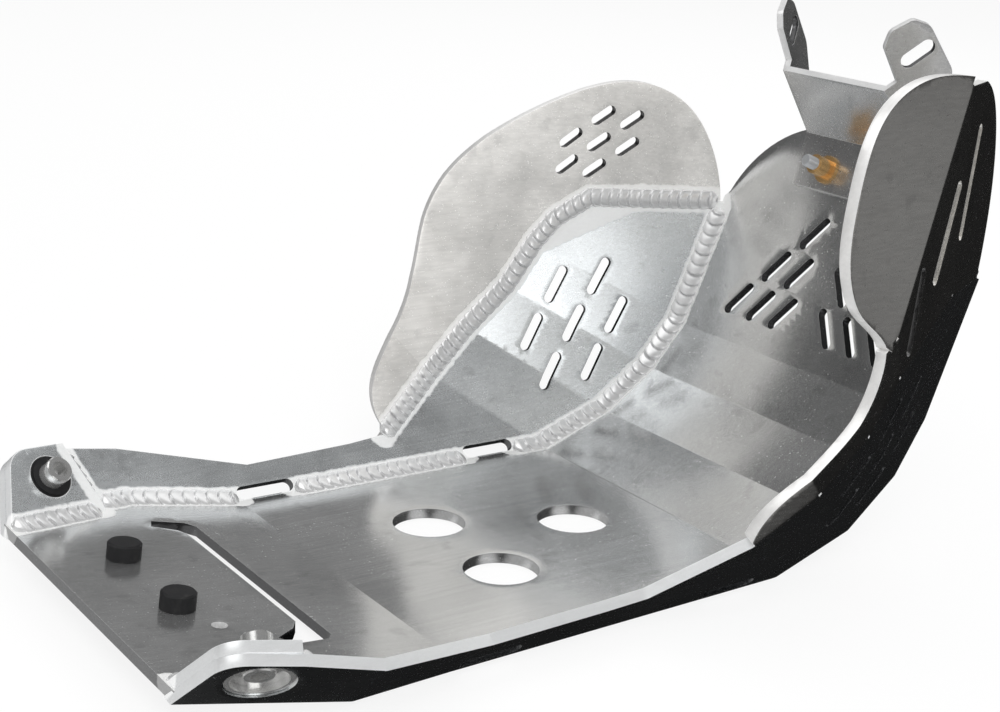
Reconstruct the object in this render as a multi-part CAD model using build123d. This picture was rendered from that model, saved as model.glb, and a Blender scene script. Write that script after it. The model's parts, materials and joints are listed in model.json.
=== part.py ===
from build123d import *
from math import cos, radians, sin
import os

os.makedirs("parts", exist_ok=True)

# Motorcycle skid plate of folded and welded aluminium sheet, in millimetres.
# X runs forward, Y to the left, Z up. The origin is the middle of the flat underside.

# Sheet and floor plate
sheet = 6.0
fold_radius = 3.0
rear_length = 141.0
rear_rise = 6.5
mid_length = 210.0
ramp_lengths = (52.0, 42.0, 36.0)
ramp_angles = (19.0, 36.5, 52.5)
front_angle = 67.5
front_length = 142.5
front_root_length = 85.0
floor_ledge = 1.5
root_half_widths = (113.0, 108.0, 109.0, 107.5, 105.0, 104.0)
rear_half_width = 105.0
hip_half_width = 127.0
hip_distance = 63.5

# Openings in the floor
plug_hole_diameter = 41.5
drain_slot_length = 36.0
drain_slot_width = 8.0
vent_width = 6.5
vent_spacing = 20.2
vent_row_pitch = 26.5

# Side rails and lower panels
rail_slope = 42.0
hip_slope = 42.0
panel_skews = (45.0, 59.0, 71.0, 83.0)
panel_reaches = (85.5, 104.5, 107.5, 109.0)
rail_bend_skew = 61.0
rail_bend_height = 24.0
hip_bend_height = 32.5
wing_foot = (104.0, 25.0)

# Upper wings
left_wing_slope = 25.0
left_wing_skews = (86.0, 85.0, 80.0, 91.0, 96.0, 112.0)
right_wing_skews = (85.0, 80.0, 123.0, 112.0)
flange_fold = 17.0
waist_height = 24.0
flange_line_height = 112.0
wing_view_yaw = 15.0
seat_gap = 0.3

# Rear rubber mounts
pad_thickness = 6.0
mount_along = 34.0
mount_up = 20.0
sleeve_radius = 7.5
sleeve_bore_radius = 4.25
sleeve_length = 19.0
grommet_radius = 12.2
washer_radius = 15.8
washer_depth = 5.0
rail_hole_radius = 16.4
bumper_radius = 9.0
bumper_height = 9.0

# Front bracket
bracket_sheet = 4.0
bracket_foot_drop = 35.5
bracket_bend_drop = 2.0
bracket_half_width = 52.0
bracket_foot_half_width = 48.0
web_angle = 130.0
web_length = 54.5
web_top_half_width = 42.0
ear_direction = Vector(0.641, 0.477, 0.602)
ear_slot_width = 9.0
bolt_drop = 22.0
bolt_half_spacing = 23.3
bolt_radius = 4.0
collar_radius = 8.85
knurl_teeth = 24
knurl_depth = 0.55

# Weld beads
floor_bead_radius = 6.3
wing_bead_radius = 6.5
wing_bead_depth = 3.2
bead_sides = 12


def in_xz(angle):
    """Direction in the XZ plane at an angle above forward."""
    return Vector(cos(radians(angle)), 0, sin(radians(angle)))


def outward(vector):
    """Unit normal on the left-hand outer side."""
    unit = vector.normalized()
    return unit if unit.Y > 0 else unit * -1


def rise_of(normal, along):
    """Direction in a sheet's plane, square to an edge and upward."""
    rise = normal.cross(along).normalized()
    return rise if rise.Z > 0 else rise * -1


def folded(points, normal, skews):
    """Normals and bend directions of a sheet folded at every inner point of its foot line."""
    normals = [normal]
    bends = []
    for i, skew in enumerate(skews):
        back = (points[i] - points[i + 1]).normalized()
        rise = rise_of(normals[-1], back)
        bend = back * cos(radians(skew)) + rise * sin(radians(skew))
        bends.append(bend)
        normals.append(outward((points[i + 2] - points[i + 1]).cross(bend)))
    return normals, bends


def polygon(corners):
    return Face(Wire.make_polygon(corners, close=True))


def plate(corners, normal, thickness):
    return extrude(polygon(corners), amount=thickness, dir=normal)


def round_fill(start, end, normal_1, normal_2, thickness):
    """Outer rounding between two flats that meet along a line."""
    middle = (normal_1 + normal_2).normalized()
    first = start + normal_1 * thickness
    last = start + normal_2 * thickness
    edges = [
        Edge.make_line(start, first),
        Edge.make_three_point_arc(first, start + middle * thickness, last),
        Edge.make_line(last, start),
    ]
    return extrude(Face(Wire(edges)), amount=(end - start).length, dir=end - start)


def rod(start, end, radius):
    plane = Plane(origin=start, z_dir=end - start)
    return extrude(plane * Circle(radius), amount=(end - start).length)


def obround(start, end, width, depth, direction):
    """Slot cutter between two end centres, along a direction."""
    along = (end - start).normalized()
    flat = (along - direction * along.dot(direction)).normalized()
    plane = Plane(origin=(start + end) / 2, x_dir=flat, z_dir=direction)
    profile = plane * SlotCenterToCenter((end - start).dot(flat), width)
    return extrude(profile, amount=depth, both=True)


def bead(points, radius):
    """Bead along a line of points, with many-sided section and mitred corners."""
    plane = Plane(origin=points[0], z_dir=points[1] - points[0])
    path = Polyline(points) if len(points) > 2 else Line(points[0], points[1])
    return sweep(plane * RegularPolygon(radius, bead_sides), path=path, transition=Transition.RIGHT)


def right_hand(solid):
    return mirror(solid, about=Plane.XZ)


# Line of the floor's upper face
rear_bend = Vector(-mid_length / 2, 0, sheet)
profile = [rear_bend + in_xz(180 - rear_rise) * rear_length, rear_bend]
profile.append(rear_bend + Vector(mid_length, 0, 0))
for length, angle in zip(ramp_lengths, ramp_angles):
    profile.append(profile[-1] + in_xz(angle) * length)
front_foot = profile[-1]
front_up = in_xz(front_angle)
front_in = in_xz(front_angle + 90)
profile.append(front_foot + front_up * front_length)
bracket_start = front_length - bracket_foot_drop
bracket_bend = front_length - bracket_bend_drop
bolt_along = front_length - bolt_drop


def sunk(line, depth):
    """The floor's line moved down into the sheet."""
    moved = []
    for i, point in enumerate(line):
        first = line[max(i, 1)] - line[max(i, 1) - 1]
        last = line[min(i + 1, len(line) - 1)] - line[min(i, len(line) - 2)]
        n1 = Vector(first.Z, 0, -first.X).normalized()
        n2 = Vector(last.Z, 0, -last.X).normalized()
        moved.append(point + (n1 + n2) * (depth / (1 + n1.dot(n2))))
    return moved


def floor_solid(start, end, half_width, beyond=0.0):
    """Prism between two depths under the upper face, with the folds rounded."""
    line = list(profile)
    line[0] = profile[0] + in_xz(180 - rear_rise) * beyond
    line[-1] = profile[-1] + front_up * beyond
    upper = sunk(line, start)
    lower = sunk(line, end)
    face = polygon(upper + lower[::-1])
    for folds, depth in ((upper, start), (lower, end)):
        for fold in folds[1:-1]:
            corner = face.vertices().sort_by_distance(fold)[0]
            face = face.fillet_2d(fold_radius + depth, [corner])
    return extrude(face, amount=half_width, dir=Vector(0, 1, 0), both=True)


# Foot line of the left side, on the inner faces
root = [Vector(p.X, w, p.Z) for p, w in zip(profile[1:], root_half_widths)]
root[5] = front_foot + front_up * front_root_length + Vector(0, root_half_widths[5], 0)
hip = rear_bend + in_xz(180 - rear_rise) * hip_distance + Vector(0, hip_half_width, 0)
tail = profile[0] + Vector(0, rear_half_width, 0)

# Floor plate
plan = [(p.X, p.Y + floor_ledge) for p in [tail, hip] + root[:5]]
plan[0] = (plan[0][0] - 1, plan[0][1])
nose = front_foot.X + front_length
plan.append((nose, root_half_widths[5] + floor_ledge))
plan_outline = plan + [(x, -y) for x, y in plan[::-1]]
plan_face = polygon([Vector(x, y, -100) for x, y in plan_outline])
plan_prism = extrude(plan_face, amount=500, dir=Vector(0, 0, 1))


def on_front(across, along, off=0.0):
    return front_foot + Vector(0, across, 0) + front_up * along + front_in * off


def front_outline():
    """Outline of the front, wide open below the last fold."""
    side = root_half_widths[5] + floor_ledge
    lines = [
        Polyline(on_front(102, 92), on_front(side, 88), on_front(side, 20), on_front(260, 0)),
        Polyline(on_front(260, 0), on_front(260, -420), on_front(-260, -420), on_front(-260, 0)),
        Polyline(on_front(-260, 0), on_front(-side, 20), on_front(-side, 88), on_front(-102, 92)),
        ThreePointArc(on_front(-102, 92), on_front(-88, 120), on_front(-57, front_length)),
        Line(on_front(-57, front_length), on_front(57, front_length)),
        ThreePointArc(on_front(57, front_length), on_front(88, 120), on_front(102, 92)),
    ]
    edges = [e for line in lines for e in line.edges()]
    return Face(Wire(edges))


front_prism = extrude(front_outline(), amount=500, dir=front_in, both=True)
base = floor_solid(0.0, sheet, 200) & plan_prism & front_prism
under_floor = floor_solid(0.0, 40.0, 320, 30.0)
below_floor = floor_solid(sheet, 40.0, 320, 30.0)

for x, y in ((79.5, 33.5), (79.5, -39.0), (155.5, -1.0)):
    base -= Pos(rear_bend.X + x, y, 0) * Cylinder(plug_hole_diameter / 2, 40)

for row, count in enumerate((3, 2, 1)):
    for i in range(count):
        across = 24.0 - 0.4 * row + vent_spacing * i
        along = 19.6 + vent_row_pitch * row
        for side in (1, -1):
            low = on_front(side * across, along)
            high = on_front(side * (across - 11.3), along + 16.6)
            base -= obround(low, high, vent_width, 20, front_in)

slit = [
    (-42.5, 80.0), (-46.5, 86.6), (-63.0, 93.5), (-66.4, 85.5), (-54.5, 76.5), (-52.0, 69.0),
    (-52.0, -53.0), (-57.0, -60.0), (-69.0, -68.0), (-65.0, -77.0), (-46.0, -76.0), (-42.5, -71.5),
]
corners = [Vector(rear_bend.X + x, y, -20) for x, y in slit]
base -= extrude(polygon(corners), amount=80, dir=Vector(0, 0, 1))
for side in (1, -1):
    across = side * bolt_half_spacing
    base -= rod(on_front(across, bolt_along, -20), on_front(across, bolt_along, 20), 4.25)

rear_along = in_xz(-rear_rise)
rear_normal = in_xz(90 - rear_rise)


def on_rear(x, y, off=0.0):
    return rear_bend + rear_along * (x / cos(radians(rear_rise))) + Vector(0, y, 0) + rear_normal * off


base -= rod(on_rear(-89.6, -47, -20), on_rear(-89.6, -47, 20), 4.0)

# Folds of the left side, shared by both hands
rail_lean = Vector(0, sin(radians(rail_slope)), cos(radians(rail_slope)))
rail_normal = outward((root[1] - root[0]).cross(rail_lean))
panel_normals, panel_bends = folded(root, rail_normal, panel_skews)
knees = [root[i + 1] + bend * reach for i, (bend, reach) in enumerate(zip(panel_bends, panel_reaches))]

rail_along = (root[1] - root[0]).normalized()
rail_rise = rise_of(rail_normal, rail_along)
hip_along = (hip - tail).normalized()
hip_lean = Vector(0, sin(radians(hip_slope)), cos(radians(hip_slope)))
hip_normal = outward((hip - tail).cross(hip_lean))
hip_rise = rise_of(hip_normal, hip_along)
rail_bend = rail_along * cos(radians(rail_bend_skew)) + rail_rise * sin(radians(rail_bend_skew))
waist_normal = outward((root[0] - hip).cross(rail_bend))
hip_bend = hip_normal.cross(waist_normal).normalized()
hip_bend = hip_bend if hip_bend.Z > 0 else hip_bend * -1
hip_top = hip + hip_bend * hip_bend_height
rail_top = root[0] + rail_bend * rail_bend_height


def on_rail(along, up):
    return root[0] + rail_along * along + rail_rise * up


def on_hip(along, up, off=0.0):
    return tail + hip_along * along + hip_rise * up + hip_normal * off


last_along = (root[5] - root[4]).normalized()
last_rise = rise_of(panel_normals[4], last_along)


def on_last(along, up):
    """Point in the foremost flat of the panel."""
    return root[4] + last_along * along + last_rise * up


wing_start = on_rail(*wing_foot)
left_head = [on_last(33.7, 101.0), on_last(54.6, 84.6), on_last(83.5, 4.2)]
right_head = [on_last(66.0, 55.6), on_last(83.5, 4.2)]
drop = 16.0


def side_sheet(head, thickness):
    """Rail and lower panel of one side: a single sheet folded at the floor's corners."""
    bends = [rail_bend] + panel_bends
    feet = [root[i] - bend * drop for i, bend in enumerate(bends)]
    hip_foot = hip - hip_bend * drop
    tail_face = polygon([on_hip(-5.8, -drop), hip_foot, hip_top, on_hip(49.5, 37.5), on_hip(15, 38.5)])
    corner = tail_face.vertices().sort_by_distance(on_hip(15, 38.5))[0]
    solid = extrude(tail_face.fillet_2d(15.0, [corner]), amount=thickness, dir=hip_normal)
    solid += plate([hip_foot, feet[0], rail_top, hip_top], waist_normal, thickness)
    rail = [feet[0], feet[1], knees[0], wing_start, on_rail(80, 23), rail_top]
    solid += plate(rail, panel_normals[0], thickness)
    for i in range(3):
        corners = [feet[i + 1], feet[i + 2], knees[i + 1], knees[i]]
        solid += plate(corners, panel_normals[i + 1], thickness)
    front_end = root[5] - last_rise * drop
    solid += plate([feet[4], front_end] + head[::-1] + [knees[3]], panel_normals[4], thickness)
    solid += round_fill(hip_foot, hip_top, hip_normal, waist_normal, thickness)
    for i in range(4):
        solid += round_fill(feet[i + 1], knees[i], panel_normals[i], panel_normals[i + 1], thickness)
    return solid - below_floor


# Slots of the lower panel, square to its third ramp flat
slot_along = (root[4] - root[3]).normalized()
slot_rise = rise_of(panel_normals[3], slot_along)


def panel_slots():
    cutters = []
    for i, j in ((0, 0), (1, 0), (0, 1), (1, 1), (2, 1), (1, 2), (2, 2)):
        along = 29.4 - 20.8 * i - 13.8 * j
        up = 60.2 + 20.0 * i - 24.3 * j
        centre = root[3] + slot_along * along + slot_rise * up
        half = slot_along * 9.9 + slot_rise * 1.4
        cutters.append(obround(centre - half, centre + half, vent_width, 25, panel_normals[3]))
    return cutters


mount_outer = on_hip(mount_along, mount_up, 20)
mount_inner = on_hip(mount_along, mount_up, -20)
rail_hole = rod(on_hip(mount_along, mount_up, 0), mount_outer, rail_hole_radius)


def drain_slots():
    """Slots through the rail's foot, just above the floor."""
    half = (drain_slot_length - drain_slot_width) / 2
    up = drain_slot_width / 2 + 0.4
    cutters = []
    for along in (18.0, 172.0):
        low = on_rail(along - half, up)
        high = on_rail(along + half, up)
        cutters.append(obround(low, high, drain_slot_width, 25, rail_normal))
    return cutters


def finished_side(head):
    solid = side_sheet(head, sheet) - rail_hole
    for cutter in panel_slots() + drain_slots():
        solid -= cutter
    return solid


rail_left = finished_side(left_head)
rail_right_model = finished_side(right_head)
base -= side_sheet(left_head, sheet)
base -= right_hand(side_sheet(right_head, sheet))

# Upper wings, trimmed to their outlines in a view square to the wing
yaw = radians(wing_view_yaw)
view_normal = Vector(sin(yaw), cos(yaw), 0)


def in_view(u, v):
    return rear_bend + Vector(cos(yaw), -sin(yaw), 0) * u + Vector(0, 0, 1) * v


def trim(curve, closing):
    """Prism over an outline: smooth along the free edge, straight below the weld."""
    free = Spline([in_view(u, v) for u, v in curve])
    line = Polyline([in_view(u, v) for u, v in [curve[-1]] + closing + [curve[0]]])
    return extrude(Face(Wire(free.edges() + line.edges())), amount=300, dir=view_normal, both=True)


def wing_sheet(foot, normals, bends, heights, start_rise, lengths):
    """Oversize folded sheet over a foot line, with rounded outer folds."""
    tops = [foot[i + 1] + bend * height for i, (bend, height) in enumerate(zip(bends, heights))]
    first = (foot[0] - foot[1]).normalized() * lengths[0]
    last = (foot[-1] - foot[-2]).normalized() * lengths[1]
    lower = [foot[0] + first] + foot[1:-1] + [foot[-1] + last]
    upper = [foot[0] + first + start_rise] + tops + [foot[-1] + last + bends[-1] * heights[-1]]
    solid = None
    for i, normal in enumerate(normals):
        flat = plate([lower[i], lower[i + 1], upper[i + 1], upper[i]], normal, sheet)
        solid = flat if solid is None else solid + flat
    for i in range(len(normals) - 1):
        if (normals[i + 1] - normals[i]).dot(foot[i + 2] - foot[i + 1]) > 0:
            solid += round_fill(lower[i + 1], upper[i + 1], normals[i], normals[i + 1], sheet)
    return solid


def seat(foot, normals, below):
    """Rounded foot of a wing, from its own flats to the end face of the panel."""
    solid = None
    for i, normal in enumerate(normals):
        inset = (foot[i + 1] - foot[i]).normalized() * seat_gap
        fill = round_fill(foot[i] + inset, foot[i + 1] - inset, below[i], normal, sheet)
        solid = fill if solid is None else solid + fill
    return solid


left_foot = [wing_start] + knees + left_head
slope = radians(left_wing_slope)
first_wing_normal = outward((left_foot[1] - left_foot[0]).cross(Vector(0, sin(slope), cos(slope))))
left_normals, left_bends = folded(left_foot, first_wing_normal, left_wing_skews)
left_sheet = wing_sheet(
    left_foot,
    left_normals,
    left_bends,
    (55, 75, 95, 95, 100, 92),
    left_bends[0] * 62,
    (25, 30),
)
left_curve = [
    (75.0, 14.0), (67.5, 53.0), (82.0, 71.0), (98.8, 101.0), (109.8, 143.8), (126.4, 170.6),
    (161.8, 197.9), (208.9, 219.6), (242.6, 226.1), (275.5, 213.4), (292.0, 193.0), (306.0, 149.0),
]
left_closing = [(306.0, 120.0), (230.0, 120.0), (200.0, 90.0), (66.0, -10.0)]
left_below = panel_normals[:4] + [panel_normals[4]] * 3
wing_left = left_sheet & trim(left_curve, left_closing)
wing_left = wing_left + seat(left_foot, left_normals, left_below)
wing_left = wing_left - rail_left
for i, j in ((0, 0), (1, 0), (-1, 1), (0, 1), (1, 1), (-1, 2), (0, 2)):
    low = in_view(220.4 + 18.4 * i - 1.4 * j, 200.7 - 2.7 * i - 17.4 * j)
    high = low + (in_view(8.3, 6.4) - in_view(0, 0))
    reach = view_normal * 190
    wing_left -= obround(low + reach, high + reach, vent_width, 60, view_normal)

right_foot = knees + right_head
right_normals, right_bends = folded(right_foot, left_normals[1], right_wing_skews)
right_sheet = wing_sheet(
    right_foot,
    right_normals,
    right_bends,
    (35, 35, waist_height, flange_line_height),
    left_bends[0] * 35,
    (0, 30),
)
flange_low = right_foot[3] + right_bends[2] * waist_height
flange_high = right_foot[4] + right_bends[3] * flange_line_height
flange_line = (flange_high - flange_low).normalized()
flange_normal = right_normals[3].rotate(Axis((0, 0, 0), flange_line), -flange_fold)
if flange_normal.Z < right_normals[3].Z:
    flange_normal = right_normals[3].rotate(Axis((0, 0, 0), flange_line), flange_fold)
flange_out = flange_normal.cross(flange_line).normalized()
flange_out = flange_out if flange_out.X < 0 else flange_out * -1
flange_start = flange_low - flange_line * 8
flange_end = flange_high + flange_line * 25
flange_span = flange_out * 95
flange_corners = [flange_start, flange_end, flange_end + flange_span, flange_start + flange_span]
flange = plate(flange_corners, flange_normal, sheet)
flange += round_fill(flange_low, flange_high, right_normals[3], flange_normal, sheet)
right_curve = [
    (104.0, 40.0), (105.5, 56.0), (137.7, 86.0), (166.0, 120.0), (166.0, 140.0), (146.0, 160.0),
    (139.5, 182.0), (148.0, 214.0), (172.0, 252.0), (209.0, 268.0), (250.0, 267.0), (295.0, 252.0),
    (313.0, 221.0), (315.0, 185.0), (304.5, 149.0),
]
right_closing = [(304.5, 110.0), (230.0, 100.0), (190.0, 80.0), (110.0, 0.0)]
right_below = panel_normals[1:4] + [panel_normals[4]] * 2
wing_right_model = (right_sheet + flange) & trim(right_curve, right_closing)
wing_right_model = wing_right_model + seat(right_foot, right_normals, right_below)
wing_right_model = wing_right_model - rail_right_model
for low, high in (
    ((255.6, 183.0), (272.7, 236.0)),
    ((222.0, 165.0), (243.2, 210.0)),
    ((194.0, 133.0), (202.3, 171.5)),
):
    reach = view_normal * 190
    wing_right_model -= obround(in_view(*low) + reach, in_view(*high) + reach, 7.0, 60, view_normal)

# Doubler pads and rubber mounts at the rear
pad_outline = [(-5.8, -drop), (60, -drop), (60, 0), (49.5, 38.5), (15, 38.5)]
pad_face = polygon([on_hip(along, up) for along, up in pad_outline])
pad_corner = pad_face.vertices().sort_by_distance(on_hip(15, 38.5))[0]
pad_face = pad_face.fillet_2d(15.0, [pad_corner])
pad = extrude(pad_face, amount=pad_thickness, dir=hip_normal * -1) - under_floor
pad -= rod(mount_inner, mount_outer, grommet_radius)


def on_mount(off):
    return on_hip(mount_along, mount_up, off)


grommet = rod(on_mount(-pad_thickness), on_mount(0), grommet_radius)
grommet += rod(on_mount(-pad_thickness - 0.8), on_mount(-pad_thickness), grommet_radius - 1.2)
grommet -= rod(mount_inner, mount_outer, sleeve_radius)
sleeve = rod(on_mount(3 - sleeve_length), on_mount(3), sleeve_radius)
sleeve = chamfer(sleeve.edges().filter_by(GeomType.CIRCLE), 0.6)
sleeve -= rod(mount_inner, mount_outer, sleeve_bore_radius)
washer = rod(on_mount(0), on_mount(washer_depth), washer_radius)
washer -= rod(on_mount(1.5), on_mount(20), washer_radius - 2.4)
washer -= rod(mount_inner, mount_outer, sleeve_radius)


def bumper(x, y):
    stud = rod(on_rear(x, y, 0), on_rear(x, y, bumper_height), bumper_radius)
    crown = stud.edges().filter_by(GeomType.CIRCLE).sort_by(Axis(profile[0], rear_normal))[-1]
    return chamfer(crown, 1.0)


bumper_left = bumper(-99, 46)
bumper_right = bumper(-100, -22)

# Front bracket: foot on the front face, web bent rearward, two slotted ears
web_up = in_xz(web_angle)
web_out = in_xz(web_angle - 90)


def on_foot(across, along):
    return on_front(across, along, bracket_sheet)


foot_face = [
    on_foot(-bracket_foot_half_width, bracket_start),
    on_foot(bracket_foot_half_width, bracket_start),
    on_foot(bracket_half_width, bracket_bend),
    on_foot(-bracket_half_width, bracket_bend),
]
bracket = plate(foot_face, front_in * -1, bracket_sheet)
bend_left = on_foot(bracket_half_width, bracket_bend)
bend_right = on_foot(-bracket_half_width, bracket_bend)
web_left = on_foot(web_top_half_width, bracket_bend) + web_up * web_length
web_right = on_foot(-web_top_half_width, bracket_bend) + web_up * web_length
bracket += plate([bend_left, bend_right, web_right, web_left], web_out, bracket_sheet)
bracket += round_fill(bend_right, bend_left, front_in * -1, web_out, bracket_sheet)

ear_along = (web_left - bend_left).normalized()
ear_across = (ear_direction - ear_along * ear_direction.dot(ear_along)).normalized()
ear_normal = ear_along.cross(ear_across).normalized()
ear_normal = ear_normal if ear_normal.Y < 0 else ear_normal * -1


def on_ear(along, across):
    return web_left + ear_along * along + ear_across * across


side_length = (web_left - bend_left).length
ear_outline = [
    (-side_length, 0), (0, 0), (0, 8.5), (22, 13), (28, 21), (26, 35),
    (17, 41), (-14, 38), (-side_length, 4),
]
ear_face = polygon([on_ear(a, b) for a, b in ear_outline])
for along, across, radius in ((22, 13, 4), (28, 21, 6), (26, 35, 5), (17, 41, 8), (-14, 38, 10)):
    corner = ear_face.vertices().sort_by_distance(on_ear(along, across))[0]
    ear_face = ear_face.fillet_2d(radius, [corner])
ear = extrude(ear_face, amount=bracket_sheet, dir=ear_normal)
ear -= obround(on_ear(7, 20.5), on_ear(7, 33), ear_slot_width, 20, ear_normal)
bracket = bracket + ear + right_hand(ear)
for side in (1, -1):
    across = side * bolt_half_spacing
    bracket -= rod(on_front(across, bolt_along, -20), on_front(across, bolt_along, 20), 5.5)


def on_bolt(off):
    return on_front(bolt_half_spacing, bolt_along, off)


# Rivet nut with a knurled collar, and the screw through it
knurl = []
for i in range(2 * knurl_teeth):
    turn = radians(180.0 * i / knurl_teeth)
    reach = collar_radius - knurl_depth * (i % 2)
    knurl.append(on_bolt(4) + (Vector(0, 1, 0) * cos(turn) + front_up * sin(turn)) * reach)
nut = rod(on_bolt(0), on_bolt(4), 5.5) + rod(on_bolt(6.6), on_bolt(17), 6.1)
nut += plate(knurl, front_in, 2.6)
nut -= rod(on_bolt(-5), on_bolt(30), bolt_radius)
bolt = rod(on_bolt(-sheet - 1.6), on_bolt(25.5), bolt_radius)
bolt = chamfer(bolt.edges().filter_by(GeomType.CIRCLE).sort_by(Axis(on_bolt(0), front_in))[-1], 0.9)
head_plane = Plane(origin=on_bolt(-sheet - 1.6), x_dir=(0, 1, 0), z_dir=front_in * -1)
bolt += extrude(head_plane * RegularPolygon(13.0 / 2, 6, major_radius=False), amount=5.3)
bolt += rod(on_bolt(-sheet), on_bolt(-sheet - 1.6), 8.0)

# Weld beads
pad_foot = pad_thickness * hip_normal.dot(rear_normal) / hip_rise.dot(rear_normal)
floor_runs = [
    [on_hip(-1, pad_foot, -pad_thickness), on_hip(56, pad_foot, -pad_thickness)],
    [on_hip(63, 0), hip, root[0]],
    [on_rail(36, 0), on_rail(154, 0)],
    [on_rail(190, 0), root[1], root[2], root[3], root[4], root[4] + (root[5] - root[4]) * 0.93],
]
sides_left = side_sheet(left_head, 16.0)
sides_right = side_sheet(right_head, 16.0)


def floor_weld(side, wing):
    solid = None
    for run in floor_runs:
        line = bead(run, floor_bead_radius)
        solid = line if solid is None else solid + line
    return solid - under_floor - side - pad - wing


def wing_weld(foot, below, side, wing_normals):
    line = []
    for i, point in enumerate(foot):
        n1 = below[max(i - 1, 0)]
        n2 = wing_normals[min(i, len(wing_normals) - 1)]
        line.append(point + (n1 + n2).normalized() * wing_bead_depth)
    cover = None
    for i, normal in enumerate(wing_normals):
        up = rise_of(normal, foot[i + 1] - foot[i])
        lift_line = (foot[i + 1] - foot[i]).normalized() * 4
        a = foot[i] - lift_line
        b = foot[i + 1] + lift_line
        flat = plate([a, b, b + up * 14, a + up * 14], normal, 14)
        cover = flat if cover is None else cover + flat
        cover += round_fill(foot[i], foot[i + 1], below[i], normal, 14)
    trimmed = bead(line, wing_bead_radius) - cover - side - under_floor
    return trimmed.solids().sort_by(SortBy.VOLUME)[-1]


floor_weld_left = floor_weld(sides_left, wing_left)
floor_weld_right = floor_weld(sides_right, wing_right_model)
wing_weld_left = wing_weld(left_foot, left_below, sides_left, left_normals) - wing_left - floor_weld_left
wing_weld_left = wing_weld_left.solids().sort_by(SortBy.VOLUME)[-1]
wing_weld_right = wing_weld(right_foot, right_below, sides_right, right_normals)
wing_weld_right = wing_weld_right - wing_right_model - floor_weld_right
wing_weld_right = wing_weld_right.solids().sort_by(SortBy.VOLUME)[-1]
pad_weld = bead([on_hip(58.2, 5), on_hip(50.4, 35)], 4.5) - sides_left - pad - under_floor
pad_weld_left = pad_weld - floor_weld_left
pad_weld_right = pad_weld - floor_weld_right

nodes = {
    "base_plate": base,
    "side_rail_left": rail_left,
    "side_rail_right": right_hand(rail_right_model),
    "wing_left": wing_left,
    "wing_right": right_hand(wing_right_model),
    "mount_pad_left": pad,
    "mount_pad_right": right_hand(pad),
    "grommet_left": grommet,
    "grommet_right": right_hand(grommet),
    "sleeve_left": sleeve,
    "sleeve_right": right_hand(sleeve),
    "cup_washer_left": washer,
    "cup_washer_right": right_hand(washer),
    "bumper_left": bumper_left,
    "bumper_right": bumper_right,
    "front_bracket": bracket,
    "rivet_nut_left": nut,
    "rivet_nut_right": right_hand(nut),
    "bracket_bolt_left": bolt,
    "bracket_bolt_right": right_hand(bolt),
    "floor_weld_left": floor_weld_left,
    "floor_weld_right": right_hand(floor_weld_right),
    "wing_weld_left": wing_weld_left,
    "wing_weld_right": right_hand(wing_weld_right),
    "pad_weld_left": pad_weld_left,
    "pad_weld_right": right_hand(pad_weld_right),
}
for name, solid in nodes.items():
    export_step(solid, f"parts/{name}.step")
    print(name, round(solid.volume), len(solid.solids()), solid.is_valid)
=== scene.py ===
# %% [markdown]
# # A welded motorcycle skid plate
# The real object is a tray of folded aluminium sheet that guards a motorcycle's engine. The packed
# solids already hold its true sizes, so this lesson loads them as a fixed frame and dresses them:
# broken edges, rolled and scuffed metal, rippled weld beads, rubber, plated fasteners and a studio.

# %% Load the frame
import json
import math

import bmesh
import bpy
import numpy as np
from mathutils import Matrix, Vector


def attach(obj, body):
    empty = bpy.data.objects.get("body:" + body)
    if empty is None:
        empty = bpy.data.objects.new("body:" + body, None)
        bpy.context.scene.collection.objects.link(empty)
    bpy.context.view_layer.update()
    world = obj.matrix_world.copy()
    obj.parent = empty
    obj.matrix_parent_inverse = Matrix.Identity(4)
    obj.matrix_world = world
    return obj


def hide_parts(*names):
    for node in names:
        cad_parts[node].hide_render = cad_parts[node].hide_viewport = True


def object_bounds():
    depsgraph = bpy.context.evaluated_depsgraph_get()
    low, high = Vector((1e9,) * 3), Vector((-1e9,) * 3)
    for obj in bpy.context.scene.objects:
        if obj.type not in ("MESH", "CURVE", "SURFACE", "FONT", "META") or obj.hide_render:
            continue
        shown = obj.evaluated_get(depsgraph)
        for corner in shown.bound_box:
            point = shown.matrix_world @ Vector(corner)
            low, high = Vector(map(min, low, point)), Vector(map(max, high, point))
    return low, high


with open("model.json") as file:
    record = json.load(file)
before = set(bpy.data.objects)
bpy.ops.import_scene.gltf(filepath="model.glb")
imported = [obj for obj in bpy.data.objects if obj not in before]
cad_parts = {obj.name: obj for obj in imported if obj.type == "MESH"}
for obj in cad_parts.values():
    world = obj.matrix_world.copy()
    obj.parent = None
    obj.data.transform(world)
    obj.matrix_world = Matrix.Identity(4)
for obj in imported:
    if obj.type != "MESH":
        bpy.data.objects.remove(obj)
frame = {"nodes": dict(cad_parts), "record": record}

nodes = frame["nodes"]
cad_low, cad_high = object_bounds()
MM = 0.001
print("nodes", len(nodes), "box", [round(v, 4) for v in (cad_high - cad_low)])

# %% [markdown]
# ## Shader maths as Python
# Node graphs are hard to read as lists of links. One small class wraps a socket, so that a mask can
# be written as `1 - mask`. Numbers use Math nodes, and colours and vectors use Mix and Vector Math,
# because a Math node would turn a colour grey.

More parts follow.
